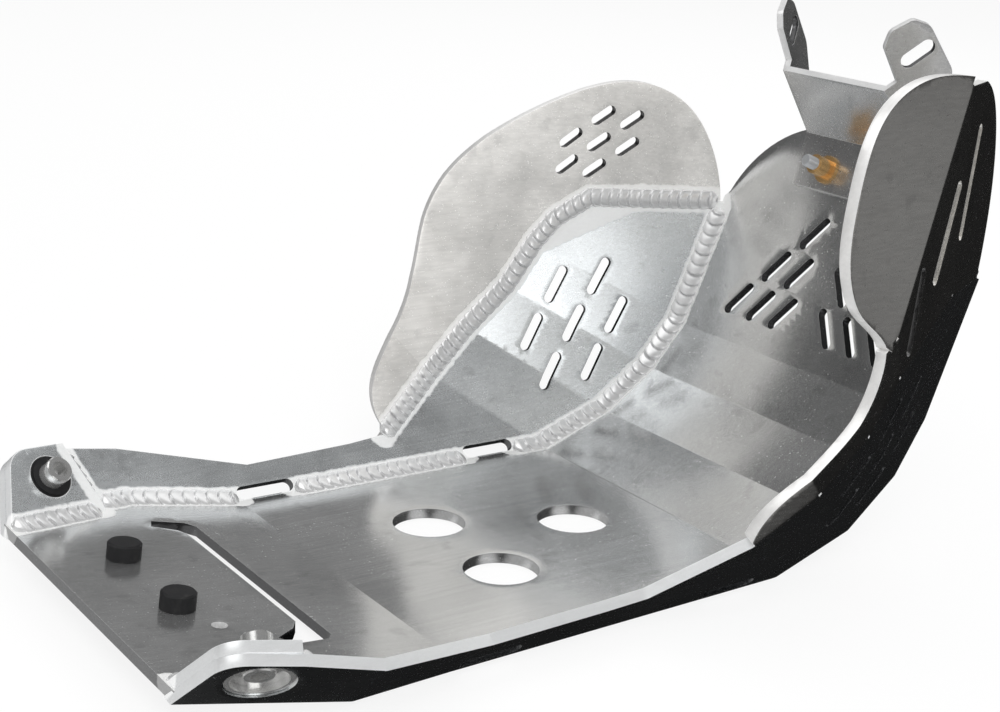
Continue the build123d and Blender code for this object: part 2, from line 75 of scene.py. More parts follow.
# %% A socket that takes part in expressions
class Signal:
    """A shader socket that can be added, multiplied and so on."""

    def __init__(self, graph, socket):
        self.graph = graph
        self.socket = socket

    def join(self, operation, first, second):
        kinds = {v.socket.type for v in (first, second) if isinstance(v, Signal)}
        if "RGBA" in kinds:
            settings = {"data_type": "RGBA", "blend_type": operation}
            return self.graph.node("ShaderNodeMix", settings, {0: 1.0, 6: first, 7: second}, 2)
        kind = "ShaderNodeVectorMath" if "VECTOR" in kinds else "ShaderNodeMath"
        return self.graph.node(kind, {"operation": operation}, {0: first, 1: second})

    def __add__(self, other):
        return self.join("ADD", self, other)

    def __radd__(self, other):
        return self.join("ADD", other, self)

    def __sub__(self, other):
        return self.join("SUBTRACT", self, other)

    def __rsub__(self, other):
        return self.join("SUBTRACT", other, self)

    def __mul__(self, other):
        return self.join("MULTIPLY", self, other)

    def __rmul__(self, other):
        return self.join("MULTIPLY", other, self)

    def __truediv__(self, other):
        return self.join("DIVIDE", self, other)

    def __rtruediv__(self, other):
        return self.join("DIVIDE", other, self)

    def either(self, other):
        """The larger of two masks."""
        return self.join("MAXIMUM", self, other)

    def step(self, low, high):
        """0 below low, 1 above high, smooth between."""
        limits = {"Value": self, "From Min": low, "From Max": high}
        return self.graph.node("ShaderNodeMapRange", {"interpolation_type": "SMOOTHSTEP"}, limits)


print("sockets can be added, subtracted, multiplied and divided")

# %% [markdown]
# ## Node trees and materials
# The world and every material are node trees. One method adds any node, so the recipes below read
# as a list of what they mix. A material also knows the few textures that this object needs.

# %% Trees and paints
WHITE = (1, 1, 1, 1)


class Graph:
    """A node tree under construction."""

    def __init__(self, tree):
        self.tree = tree

    def node(self, kind, settings=None, sockets=None, output=0):
        """Any node: its type, its settings first, then the values or links of its sockets."""
        made = self.tree.nodes.new(kind)
        for name, value in (settings or {}).items():
            setattr(made, name, value)
        for name, value in (sockets or {}).items():
            self.connect(made.inputs[name], value)
        return Signal(self, made.outputs[output])

    def connect(self, socket, value):
        if isinstance(value, Signal):
            self.tree.links.new(value.socket, socket)
        elif isinstance(value, (int, float)) and socket.type in ("RGBA", "VECTOR"):
            socket.default_value = (value,) * len(socket.default_value)
        else:
            socket.default_value = value

    def ray(self, kind):
        """1 for rays of one kind, 0 for the others."""
        return self.node("ShaderNodeLightPath", output=kind)

    def part(self, vector, axis):
        """One number of a vector."""
        return self.node("ShaderNodeSeparateXYZ", None, {0: vector}, axis)

    def glow(self, strength):
        """White light of a constant strength."""
        return self.node("ShaderNodeEmission", None, {"Color": WHITE, "Strength": strength})

    def mixed(self, factor, first, second):
        """Two shaders mixed."""
        return self.node("ShaderNodeMixShader", None, {0: factor, 1: first, 2: second})


class Paint(Graph):
    """A material under construction."""

    def __init__(self, name, **constants):
        self.material = bpy.data.materials.new(name)
        self.material.use_nodes = True
        super().__init__(self.material.node_tree)
        self.shader = self.tree.nodes["Principled BSDF"]
        self.feed(**constants)

    def surface(self, shader):
        """Another shader in place of the standard one."""
        self.connect(self.tree.nodes["Material Output"].inputs["Surface"], shader)

    def feed(self, **signals):
        """Values or links for the standard shader's sockets."""
        for socket, value in signals.items():
            self.connect(self.shader.inputs[socket.replace("_", " ")], value)
        return self.material

    def place(self):
        """Position in the object's own frame, in metres."""
        return self.node("ShaderNodeTexCoord", output="Object")

    def stretched(self, turn, scale):
        """Position turned by three angles and stretched."""
        sockets = {"Vector": self.place(), "Rotation": turn, "Scale": scale}
        return self.node("ShaderNodeMapping", {"vector_type": "POINT"}, sockets)

    def noise(self, where, scale, detail, roughness):
        sockets = {"Vector": where, "Scale": scale, "Detail": detail, "Roughness": roughness}
        return self.node("ShaderNodeTexNoise", None, sockets)

    def mark(self, name):
        """A number stored on the mesh."""
        return self.node("ShaderNodeAttribute", {"attribute_name": name}, output="Fac")

    def blend(self, factor, first, second):
        """Colour mix."""
        sockets = {0: factor, 6: first, 7: second}
        return self.node("ShaderNodeMix", {"data_type": "RGBA"}, sockets, 2)

    def bump(self, height, strength, distance):
        sockets = {"Height": height, "Strength": strength, "Distance": distance}
        return self.node("ShaderNodeBump", None, sockets)


print("shader helpers ready")

# %% [markdown]
# ## Camera
# The photograph was taken from behind and to the right, a little above. A perspective camera placed
# by measurement, with no shift, gives the same framing as the solids were measured in.

# %% Place the camera
def placed(name, data):
    """A new object around some data, linked into the scene."""
    made = bpy.data.objects.new(name, data)
    bpy.context.scene.collection.objects.link(made)
    return made


camera_data = bpy.data.cameras.new("photo_camera")
camera = placed("photo_camera", camera_data)
camera_data.lens = 64.0
camera_data.sensor_width = 36.0
camera_data.clip_start = 0.01
stand = Vector((-533.7, -751.8, 395.1)) * MM
look = Vector((0.5496, 0.7816, -0.295)).normalized()
up_hint = Vector((0.1328, 0.2669, 0.9545))
side = look.cross(up_hint).normalized()
upright = side.cross(look)
turned = Matrix((side, upright, -look)).transposed().to_4x4()
camera.matrix_world = Matrix.Translation(stand) @ turned
bpy.context.scene.camera = camera
bpy.context.scene.view_settings.view_transform = "Standard"
print("camera at", [round(v, 3) for v in camera.location])

# %% [markdown]
# ## World
# The world gives soft light from all sides. Lamps alone would leave the folds black. Rays from the
# camera, from reflections and through clear things meet plain white instead, so the background is
# white at a level of light that doesn't bleach the object.

# %% Light from all sides
AMBIENT, BACKDROP = 0.75, 1.0
world = bpy.data.worlds.new("studio_world")
bpy.context.scene.world = world
world.use_nodes = True
sky = Graph(world.node_tree)
seen = sky.ray("Is Camera Ray")
for kind in ("Is Glossy Ray", "Is Transmission Ray"):
    seen = seen.either(sky.ray(kind))
lighting, backdrop = (
    sky.node("ShaderNodeBackground", None, {"Color": WHITE, "Strength": strength})
    for strength in (AMBIENT, BACKDROP))
sky_output = world.node_tree.nodes["World Output"].inputs["Surface"]
sky.connect(sky_output, sky.mixed(seen, lighting, backdrop))
print("world lights with", AMBIENT, "and shows", BACKDROP)

# %% [markdown]
# ## Floor
# The floor is pale and keeps the object's shadow. A white floor alone would look grey, so rays from
# the camera see it mostly as a white glow. Reflections don't see it, because the metal in the
# photograph reflects something dark from below.

# %% A pale floor
FLOOR_HALF, FLOOR_DROP, FLOOR_GLOW = 6.0, 0.0003, 0.85


def stage_mesh(name, mesh_maker):
    """A piece of the studio, made by a function that fills an empty mesh."""
    mesh = bpy.data.meshes.new(name)
    shape = bmesh.new()
    mesh_maker(shape)
    shape.to_mesh(mesh)
    shape.free()
    made = placed(name, mesh)
    return made


floor = stage_mesh("studio_floor", lambda shape: bmesh.ops.create_grid(
    shape, x_segments=1, y_segments=1, size=FLOOR_HALF))
floor.location.z = cad_low.z - FLOOR_DROP
floor_paint = Paint("pale_floor", Roughness=0.9, Base_Color=(0.88, 0.88, 0.88, 1))
lift = FLOOR_GLOW * floor_paint.ray("Is Camera Ray")
matt = Signal(floor_paint, floor_paint.shader.outputs[0])
floor_paint.surface(floor_paint.mixed(lift, matt, floor_paint.glow(1.0)))
floor.data.materials.append(floor_paint.material)
floor.visible_glossy = False
print("floor at", round(floor.location.z, 4))

# %% [markdown]
# ## Reflection tent
# Bare metal shows its surroundings more than its own colour: here a bright box behind the camera,
# grey walls and something dark below. Lamps that light the object as well couldn't be placed as
# freely, so a ball around the scene carries soft round patches, and only reflections see it. Their
# sum is the factor between a dark and a full glow.

# %% Bright patches for the metal to reflect
TENT_RADIUS, TENT_FULL = 4.0, 1.8
TENT_FLOOR, TENT_SKY = 0.010, 0.07  # grey below, and what is added towards the top
TENT_PATCHES = (  # gain, direction, inner and outer angle in degrees
    (1.70, (-0.15, -0.93, 0.33), 13, 22),
    (0.30, (-0.30, -0.95, 0.08), 6, 15),
    (0.18, (0.24, -0.71, 0.66), 6, 17),
    (0.10, (0.46, 0.80, 0.38), 8, 22),
    (0.55, (0.20, 0.70, 0.68), 5, 14),
    (1.30, (-0.33, 0.16, 0.93), 14, 28),
    (0.80, (0.50, 0.30, 0.80), 9, 24),
    (0.30, (0.10, -0.92, -0.33), 10, 34),
    (0.40, (0.62, -0.76, 0.18), 4, 14),
    (0.20, (0.88, -0.47, 0.00), 4, 14),
    (0.30, (-0.95, -0.10, 0.35), 8, 35),
    (0.35, (-0.35, 0.75, -0.55), 20, 48),
    (0.35, (-0.85, 0.00, -0.50), 20, 50),
    (0.25, (0.10, -0.75, -0.65), 15, 40),
)
tent = stage_mesh("reflection_tent", lambda shape: bmesh.ops.create_icosphere(
    shape, subdivisions=5, radius=TENT_RADIUS))
tent.visible_camera = False
tent.visible_diffuse = False
tent.visible_transmission = False
tent.visible_shadow = False
cloth = Paint("tent_cloth")
towards = cloth.node("ShaderNodeVectorMath", {"operation": "NORMALIZE"}, {0: cloth.place()})


def patch(direction, inner, outer):
    """Soft round patch of the tent: 1 inside the inner angle, 0 past the outer one."""
    sockets = {0: towards, 1: tuple(Vector(direction).normalized())}
    cosine = cloth.node("ShaderNodeVectorMath", {"operation": "DOT_PRODUCT"}, sockets, "Value")
    return cosine.step(math.cos(math.radians(outer)), math.cos(math.radians(inner)))


grey = TENT_FLOOR + TENT_SKY * cloth.part(towards, "Z").step(-0.02, 0.60)
for gain, direction, inner, outer in TENT_PATCHES:
    grey = grey + gain * patch(direction, inner, outer)
cloth.surface(cloth.mixed(grey / TENT_FULL, cloth.glow(0.0), cloth.glow(TENT_FULL)))
tent.data.materials.append(cloth.material)
print("tent with", len(TENT_PATCHES), "patches")

# %% [markdown]
# ## Softboxes
# Two large square lamps give the object its soft light and the floor its shadow. Reflections don't
# see them, because the tent already shows what the metal reflects.

# %% Two lamps
LAMP_TARGET = Vector((0, 0, 0.08))


def softbox(name, place, size, power):
    lamp = bpy.data.lights.new(name, "AREA")
    lamp.size, lamp.energy = size, power
    made = placed(name, lamp)
    made.location = place
    made.rotation_euler = (LAMP_TARGET - made.location).to_track_quat("-Z", "Y").to_euler()
    made.visible_glossy = False
    print(name, power, "W")


softbox("key_softbox", place=(-0.9, -1.6, 2.0), size=1.6, power=38)
softbox("fill_softbox", place=(1.4, 1.2, 1.8), size=1.8, power=16)

# %% [markdown]
# ## Sheet metal
# The sheet came off a roll, so fine lines run along it, and handling left scratches, specks and
# soft smudges. The outsides are still bright, and the insides are partly dulled to a satin. Welding
# left a pale, rougher band beside every bead. Filed edges get a pale colour that is partly their own
# finish and partly a painted highlight, and the walls of slots and the floor's outline get painted
# shade.
# Where the band, the edges and the walls are is stored on the mesh as two numbers, `gap` and
# `edge`. The rest is procedural noise, stretched along the roll.

# %% Aluminium finishes
FROST = 0.7
PALE, SCUFFED, HAZY = (0.97, 0.97, 0.96, 1), (0.94, 0.94, 0.93, 1), (0.90, 0.90, 0.90, 1)
FILED_AND_HIGHLIGHT, STAINED, SHADED = (0.93, 0.93, 0.93, 1), (0.30, 0.30, 0.30, 1), (0.10, 0.10, 0.105, 1)


def scratches(paint, turn, slant, stretch, low, high):
    """Sparse thin lines, slanted from the direction of the roll."""
    slanted = tuple(a + b for a, b in zip(turn, slant))
    return paint.noise(paint.stretched(slanted, stretch), 1.0, 1.0, 0.4).step(low, high)


def aluminium(name, tint, roughness, turn, satin, grain_depth):
    paint = Paint(name)
    lines = paint.noise(paint.stretched(turn, (9, 620, 620)), 1.0, 3.0, 0.6)
    coarse = paint.noise(paint.stretched(turn, (3, 80, 80)), 1.0, 2.0, 0.5)
    grain = paint.noise(paint.place(), 1500.0, 2.0, 0.7)
    smudge = paint.noise(paint.place(), 14.0, 3.0, 0.6)
    stain = paint.noise(paint.place(), 75.0, 2.0, 0.5).step(0.60, 0.74)
    specks = paint.noise(paint.place(), 950.0, 1.0, 0.5).step(0.68, 0.75)
    scratch = scratches(paint, turn, (0.5, 0.3, 0.9), (9, 420, 420), 0.775, 0.80)
    nick = scratches(paint, turn, (-0.4, 0.6, -0.7), (14, 480, 480), 0.78, 0.81)
    marks = scratch.either(nick)

    # Where on the sheet: cut edges, slot walls, the inside of the tray, the band beside a weld.
    gap = paint.mark("gap")
    ragged = gap + 3.6 * (paint.noise(paint.place(), 240.0, 4.0, 0.65) - 0.5)
    # edges marked above zero: filed finish, partly a painted highlight
    filed_edge_and_highlight = paint.mark("edge").step(0.0, 1.0)
    # walls marked below zero: painted shade on slot walls and the floor's outline
    hole_shade = (0 - paint.mark("edge")).step(0.0, 1.0)
    facing = paint.part(paint.node("ShaderNodeNewGeometry", output="True Normal"), "Y")
    outboard = facing * paint.part(paint.place(), "Y")
    inside = 1 - outboard.step(0.01, 0.03)
    band = inside * (1 - ragged.step(7.9, 9.3))
    haze = inside * (1 - gap.step(8.0, 24.0))

    dark = tuple(c * 0.86 for c in tint) + (1,)
    light = tuple(min(1.0, c * 1.07) for c in tint) + (1,)
    line_share, coarse_share = 0.75 - grain_depth * 0.5, 0.25 - grain_depth * 0.5
    blotch = lines * line_share + grain * grain_depth + coarse * coarse_share
    base = paint.blend(blotch.step(0.28, 0.72), dark, light)
    # stains, specks, scratches and the weld band are real; the pale edge colour is partly a painted
    # highlight, and the dark walls are painted shade
    for layer, colour in (
            (stain * 0.22, STAINED), (specks * inside * 0.6, PALE), (marks * inside * 0.30, SCUFFED),
            (haze * 0.03, HAZY), (band * FROST, PALE), (filed_edge_and_highlight * 0.6, FILED_AND_HIGHLIGHT), (hole_shade * 0.85, SHADED)):
        base = paint.blend(layer, base, colour)

    rough = roughness + 0.12 * (smudge - 0.5) + 0.06 * (lines - 0.5) + 0.08 * (grain - 0.5)
    rough = rough + 0.42 * band + 0.02 * haze + 0.06 * marks + 0.10 * specks + 0.08 * filed_edge_and_highlight
    dulled = satin * inside * (0.72 + 0.42 * smudge.step(0.36, 0.64))
    metal = (1 - dulled) * (1 - 0.85 * FROST * band) * (1 - 0.48 * filed_edge_and_highlight)
    relief = lines * 0.4 + grain * 0.4 - marks * 0.5 + band * 0.5 + specks * 0.3
    normal = paint.bump(relief, 0.06, 0.0004)
    return paint.feed(Base_Color=base, Roughness=rough, Metallic=metal, Normal=normal)


finish = {}
for name, *recipe in (  # tint, roughness, direction of the roll, satin inside, depth of the grain
        ("floor_aluminium", (0.78, 0.785, 0.785), 0.17, (0.0, 0.0, 0.0), 0.10, 0.5),
        ("panel_aluminium", (0.84, 0.87, 0.885), 0.25, (0.0, -0.65, -0.2), 0.24, 0.5),
        # the wing's warm tint is a painted reflection of a warm studio, not the sheet's own colour
        ("wing_aluminium", (0.90, 0.885, 0.855), 0.24, (0.0, -0.62, -0.26), 0.70, 0.15),
        ("bracket_aluminium", (0.68, 0.68, 0.68), 0.22, (0.0, 0.0, 1.57), 0.12, 0.5)):
    finish[name] = aluminium(name, *recipe)
print("aluminium finishes", len(finish))

# %% [markdown]
# ## Small parts' finishes
# Rubber is nearly black and dusty. The rivet nuts have yellow passivation with worn high spots, and
# the screws and sleeves are plated or plain steel with a soft clouding. Noise at three sizes is
# enough for pieces this small.

# %% Rubber, plating and steel
def rubber(name):
    paint = Paint(name, Metallic=0.0)
    grain = paint.noise(paint.place(), 900.0, 4.0, 0.6)
    dust = paint.noise(paint.place(), 180.0, 4.0, 0.65).step(0.5, 0.85)
    base = paint.blend(dust * 0.5, (0.012, 0.012, 0.013, 1), (0.07, 0.068, 0.064, 1))
    rough = 0.55 + 0.25 * dust + 0.1 * grain
    return paint.feed(Base_Color=base, Roughness=rough, Normal=paint.bump(grain, 0.25, 0.0003))


def plated(name, tint, worn, roughness, metallic):
    paint = Paint(name, Metallic=metallic)
    cloud = paint.noise(paint.place(), 160.0, 3.0, 0.6)
    fine = paint.noise(paint.place(), 1400.0, 2.0, 0.6)
    wear = paint.noise(paint.place(), 420.0, 3.0, 0.6).step(0.56, 0.74)
    base = paint.blend(wear * 0.3, tint + (1,), worn + (1,))
    base = paint.blend(cloud * 0.25, base, tuple(c * 0.7 for c in tint) + (1,))
    rough = roughness + 0.18 * (cloud - 0.5) + 0.1 * (fine - 0.5)
    return paint.feed(Base_Color=base, Roughness=rough, Normal=paint.bump(fine, 0.12, 0.0002))


finish["black_rubber"] = rubber("black_rubber")
for name, *recipe in (  # tint, worn tint, roughness, metallic
        ("yellow_zinc", (1.0, 0.64, 0.28), (1.0, 0.80, 0.50), 0.18, 0.80),
        ("zinc_steel", (0.84, 0.86, 0.88), (0.92, 0.93, 0.94), 0.20, 0.72),
        ("plain_steel", (0.84, 0.84, 0.83), (0.92, 0.92, 0.91), 0.15, 0.8)):
    finish[name] = plated(name, *recipe)
slot_of = {row["node"]: row["material_slot"] for row in frame["record"]["subparts"]}
for name, piece in nodes.items():
    piece.data.materials.clear()
    piece.data.materials.append(finish.get(slot_of[name], finish["floor_aluminium"]))
print("finishes", sorted(finish))

# %% [markdown]
# ## Weld lines
# A bead runs wherever two sheets meet. Each run is a line of corner points with, for every stretch,
# the two directions that lead away from the corner along the two sheets. The numbers are those of
# the solids, in millimetres. They are written for the left side and mirrored for the right, whose
# upper seam has points of its own.

# %% Corner points and sheet normals
def rows(*triples):
    return [np.array(triple) for triple in triples]


root = rows(
    (-105.0, 113.0, 6.0), (105.0, 108.0, 6.0), (154.2, 109.0, 22.9),
    (187.9, 107.5, 47.9), (209.8, 105.0, 76.5), (242.4, 104.0, 155.0))
heel, hip = rows((-184.9, 122.2, 15.1), (-168.1, 127.0, 13.2))
pad_foot = rows((-243.9, 97.0, 21.8), (-189.4, 112.5, 15.6))
pad_side = rows((-190.0, 124.1, 19.4), (-200.3, 141.3, 43.0))
wing_start = np.array((-0.6, 127.2, 24.6))
knees = rows((45.5, 149.9, 50.9), (78.4, 158.8, 74.8), (108.5, 158.5, 99.4), (128.2, 156.7, 126.9))
left_head = rows((141.1, 153.1, 142.0), (162.4, 145.0, 155.7), (238.4, 106.0, 155.0))
right_head = rows((190.2, 130.9, 156.4), (238.4, 106.0, 155.0))

hip_normal, waist_normal = rows((-0.277, 0.714, -0.643), (0.080, 0.716, -0.693))
panel_normals = rows(
    (0.018, 0.743, -0.669), (0.170, 0.823, -0.542), (0.316, 0.871, -0.375),
    (0.411, 0.880, -0.238), (0.448, 0.877, -0.174))
left_normals = rows(
    (-0.199, 0.888, -0.414), (-0.040, 0.953, -0.301), (0.130, 0.981, -0.146), (0.191, 0.979, -0.074),
    (0.254, 0.967, 0.012), (0.316, 0.946, 0.072), (0.455, 0.886, 0.095))
right_normals = rows(
    (-0.040, 0.953, -0.301), (0.130, 0.981, -0.146), (0.191, 0.979, -0.074),
    (0.382, 0.924, 0.005), (0.459, 0.888, 0.008))
floor_angles = [math.radians(a) for a in (0.0, 19.0, 36.5, 52.5, 67.5)]
floor_normals = rows(*((-math.sin(a), 0, math.cos(a)) for a in floor_angles))
rear_normal = np.array((0.113, 0.0, 0.994))
print("corner points", len(root) + len(knees) + len(left_head) + len(right_head))

# %% [markdown]
# ## Weld runs
# A bead leans on two sheets, so every stretch needs a direction in each of them, square to the
# bead. The cross product of the line and the sheet's normal gives it, up to its sign, and a rough
# guide picks the side. The drain slots interrupt the run along the floor.

# %% Stretches of every bead
inboard, upward, downward = rows((0, -1.0, 0), (0, 0, 1.0), (0, 0, -1.0))
DRAINS = ((36, 154), 190)  # ends of the bead between the drain slots, and its start after them
FRONT_SHARE = 0.93  # how far the bead climbs the last stretch


def unit(v):
    return v / np.linalg.norm(v)


def away(tangent, normal, guide):
    """Direction in a sheet, square to the bead, on the guide's side."""
    direction = unit(np.cross(tangent, normal))
    return direction if direction @ guide > 0 else -direction


def weld_run(points, lower, upper, guide):
    """Stretches of a bead: both ends, and the ways along the lower and the upper sheet."""
    run = []
    for start, end, below, above in zip(points, points[1:], lower, upper):
        tangent = unit(end - start)
        run.append((start, end, away(tangent, below, guide), away(tangent, above, upward)))
    return run


rail_line = unit(root[1] - root[0])
between = [root[0] + rail_line * distance for distance in DRAINS[0]]
front = [root[0] + rail_line * DRAINS[1]] + root[1:5] + [root[4] + (root[5] - root[4]) * FRONT_SHARE]
runs_floor = [
    weld_run(pad_foot, [rear_normal], [hip_normal], inboard),
    weld_run([heel, hip, root[0]], [rear_normal] * 2, [hip_normal, waist_normal], inboard),
    weld_run(between, [floor_normals[0]], [panel_normals[0]], inboard),
    weld_run(front, floor_normals, panel_normals, inboard),
]
below_left = panel_normals[:4] + [panel_normals[4]] * 3
below_right = panel_normals[1:4] + [panel_normals[4]] * 2
run_left = weld_run([wing_start] + knees + left_head, below_left, left_normals, downward)
run_right = weld_run(knees + right_head, below_right, right_normals, downward)
pad_front = [(pad_side[0], pad_side[1], np.array((0.956, 0.273, -0.109)), unit(-hip_normal))]
all_runs = runs_floor + [run_left, run_right, pad_front]
print("weld runs", len(all_runs), "stretches", sum(len(run) for run in all_runs))

# %% [markdown]
# ## Rippled beads
# A hand-welded bead looks like a row of coins laid over: each dab of filler freezes as a crescent.
# A tube with bump would look flat at its edge, so the ripples are geometry. A strip is swept along
# the run, and its height follows a saw-tooth whose front is bowed like the crescent.

# %% Sweep a bead
STATION_STEP, STRIP_POINTS = 0.55, 17  # millimetres along the bead, points across it
CORNER_EASE, END_TAPER = 5.0, 5.0  # lengths over which a bead turns at a corner and thins at an end
BOW, GROOVE, WANDER = 0.45, 0.14, 0.06  # shares of the pitch
STRIP_SINK, FOOT_SINK = 0.35, 0.4  # how far the strip and its foot lie below the sheets' surface
NUDGE = 1e-6  # keeps two opposite ways from adding up to nothing


def station(run, bounds, s):
    """The stretch that a distance falls on, and the point there."""
    i = min(int(np.searchsorted(bounds, s, side="right")) - 1, len(run) - 1)
    start, end = run[i][:2]
    return i, start + (end - start) * ((s - bounds[i]) / np.linalg.norm(end - start))


def eased_ways(run, bounds, i, s):
    """The ways along both sheets, turned towards the next stretch near a corner."""
    ways = run[i][2:]
    for other, distance in ((i - 1, s - bounds[i]), (i + 1, bounds[i + 1] - s)):
        if 0 <= other < len(run) and distance < CORNER_EASE:
            mix = 0.5 - 0.5 * distance / CORNER_EASE
            ways = [unit(own * (1 - mix) + far * mix) for own, far in zip(ways, run[other][2:])]
    return ways


def strip_faces(count, wide):
    """Faces of a bead: its ripples, its flanks down to a line of foot points, and its two ends."""
    foot = count * wide
    faces = []
    for a in range(count - 1):
        row, following = a * wide, (a + 1) * wide
        faces += [(row + b, row + b + 1, following + b + 1, following + b) for b in range(wide - 1)]
    for a in range(count - 1):
        low, high = a * wide, a * wide + wide - 1
        faces.append((low, low + wide, foot + a + 1, foot + a))
        faces.append((high + wide, high, foot + a, foot + a + 1))
    for a in (0, count - 1):
        for b in range(a * wide, a * wide + wide - 1):
            face = (b + 1, b, foot + a)
            faces.append(face if a == 0 else face[::-1])
    return faces


def swept(run, pitch, reach, crown, seed):
    """Points, faces and groove marks of one bead, in millimetres."""
    rng = np.random.default_rng(seed)
    lengths = [np.linalg.norm(end - start) for start, end, _, _ in run]
    total = sum(lengths)
    stations = np.arange(0, total, STATION_STEP)
    bounds = np.concatenate([[0], np.cumsum(lengths)])
    jitter = np.cumsum(rng.normal(0, WANDER, int(total / pitch) + 8))
    points, foot_points, grooves = [], [], []
    for s in stations:
        i, where = station(run, bounds, s)
        start, end, lower, upper = run[i]
        foot_points.append(where - unit(lower + upper + NUDGE) * FOOT_SINK)
        lower, upper = eased_ways(run, bounds, i, s)
        proud = np.cross(unit(end - start), unit(upper - lower))
        proud = proud if proud @ unit(lower + upper + NUDGE) >= 0 else -proud
        taper = min(1.0, (s + 0.8) / END_TAPER, (total - s + 0.4) / END_TAPER) ** 0.5
        for t in np.linspace(0, 1, STRIP_POINTS):
            place = (s - BOW * pitch * (2 * t - 1) ** 2) / pitch + 1
            place = place + jitter[int(np.clip(place, 0, len(jitter) - 1))]
            saw = place % 1.0
            dip = min(1.0, saw / GROOVE)
            crest = (1.0 - saw ** 1.8) * math.sin(0.5 * math.pi * dip)
            width = reach * taper * (0.93 + 0.08 * crest)
            rise = crown * taper * (0.58 + 0.50 * crest) * math.sin(math.pi * t) ** 0.7
            chord = lower * (1 - t) + upper * t
            points.append(where + chord * width + proud * (rise - STRIP_SINK))
            grooves.append(1.0 - dip)
    faces = strip_faces(len(stations), STRIP_POINTS)
    return points + foot_points, faces, grooves + [0.0] * len(foot_points)


print("beads have a station every", STATION_STEP, "mm")

# %% [markdown]
# ## Weld metal and its pieces
# Fresh filler is brighter and softer in its shine than the sheet, and the grooves between the dabs
# get painted shade. The sweep knows where the grooves are, so it stores them on the mesh and the
# material reads them. Each piece stands for one plain bar of the solids.

# %% Make the beads
def weld_metal():
    paint = Paint("weld_metal", Metallic=0.56)
    groove = paint.mark("groove")
    frost = paint.noise(paint.place(), 900.0, 3.0, 0.6)
    cloud = paint.noise(paint.place(), 90.0, 2.0, 0.5)
    base = paint.blend(cloud, (0.86, 0.865, 0.87, 1), (0.96, 0.96, 0.96, 1))
    # painted shade in the grooves between the dabs
    base = paint.blend(groove * 0.8, base, (0.22, 0.22, 0.23, 1))
    rough = 0.23 + 0.08 * (frost - 0.5) + 0.20 * groove + 0.1 * (cloud - 0.5)
    return paint.feed(Base_Color=base, Roughness=rough, Normal=paint.bump(frost, 0.04, 0.0003))


def store(mesh, name, values):
    """One number for each point of a mesh, for a material to read."""
    mark = mesh.attributes.new(name, "FLOAT", "POINT")
    mark.data.foreach_set("value", np.array(values, np.float32))


def bead_piece(name, node, runs, pitch, reach, crown, mirrored, seed):
    points, faces, grooves = [], [], []
    for k, run in enumerate(runs):
        more_points, more_faces, more_grooves = swept(run, pitch, reach, crown, seed + k)
        faces += [tuple(i + len(points) for i in face) for face in more_faces]
        points += more_points
        grooves += more_grooves
    points = np.array(points) * MM
    if mirrored:
        points[:, 1] *= -1
    mesh = bpy.data.meshes.new(name)
    mesh.from_pydata(points.tolist(), [], faces)
    shape = bmesh.new()
    shape.from_mesh(mesh)
    bmesh.ops.recalc_face_normals(shape, faces=shape.faces)
    shape.to_mesh(mesh)
    shape.free()
    store(mesh, "groove", grooves)
    mesh.shade_smooth()
    piece = placed(name, mesh)
    piece.data.materials.append(finish["weld_metal"])
    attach(piece, "root")
    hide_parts(node)
    print(name, "faces", len(mesh.polygons))


finish["weld_metal"] = weld_metal()
for hand, mirrored, seam in (("left", False, run_left), ("right", True, run_right)):
    for bead, node, runs, pitch, reach, crown, seed in (
            ("floor_bead", "floor_weld", runs_floor, 7.0, 7.4, 2.0, 11),
            ("seam_bead", "wing_weld", [seam], 6.4, 6.6, 3.4, 31),
            ("pad_bead", "pad_weld", [pad_front], 6.0, 5.2, 1.6, 51)):
        bead_piece(f"{bead}_{hand}", f"{node}_{hand}", runs, pitch, reach, crown, mirrored, seed)

# %% [markdown]
# ## Cut walls of a sheet
# The outline and the slots of a sheet were cut, and their walls look unlike its two skins. A face
# can't be told by its direction alone on a folded sheet. So the skins are found first, by a flood
# from the large faces across shallow folds, and what is left falls apart into one wall for the
# outline and one for each hole.

# %% Find skins and walls
WALL_WIDTH = 0.0068  # a face narrower than this can be a cut wall
SKIN_AREA = 0.0003  # a face larger than this is part of a skin
SHALLOW_FOLD = 0.45  # a skin runs on over folds below this angle, in radians


def thin(face):
    """True for the narrow cut walls of a sheet."""
    return 2 * face.calc_area() < WALL_WIDTH * face.calc_perimeter()


def walls(shape, eased):
    """The cut walls of a sheet, one set of faces for its outline and one for each hole."""
    skins = {f for f in shape.faces if f.calc_area() > SKIN_AREA and not thin(f)}
    reached = list(skins)
    while reached:
        face = reached.pop()
        for other in (f for edge in face.edges for f in edge.link_faces):
            if other in skins or other in eased:
                continue
            if face.normal.angle(other.normal, 0) < SHALLOW_FOLD:
                skins.add(other)
                reached.append(other)
    waiting = {f for f in shape.faces if f not in skins}
    found = []
    while waiting:
        group, frontier = set(), [waiting.pop()]
        while frontier:
            face = frontier.pop()
            group.add(face)
            near = {f for e in face.edges for f in e.link_faces if f in waiting}
            waiting -= near
            frontier += near
        found.append(group)
    return found


def spread(faces):
    """The diagonal of the box around some faces."""
    points = np.array([v.co for f in faces for v in f.verts])
    return np.linalg.norm(points.max(0) - points.min(0))


print("walls are up to", WALL_WIDTH / MM, "mm wide")

# %% [markdown]
# ## Sheets with broken edges
# Cut sheet has edges that were eased with a file, and they catch the light. Each sheet is copied,
# its sharp edges get a narrow bevel, and it is divided finely enough to carry the pale band beside
# the welds. A bevel modifier would be shorter, but wouldn't tell which faces it made. The copy
# keeps the solid's form and stands for it.

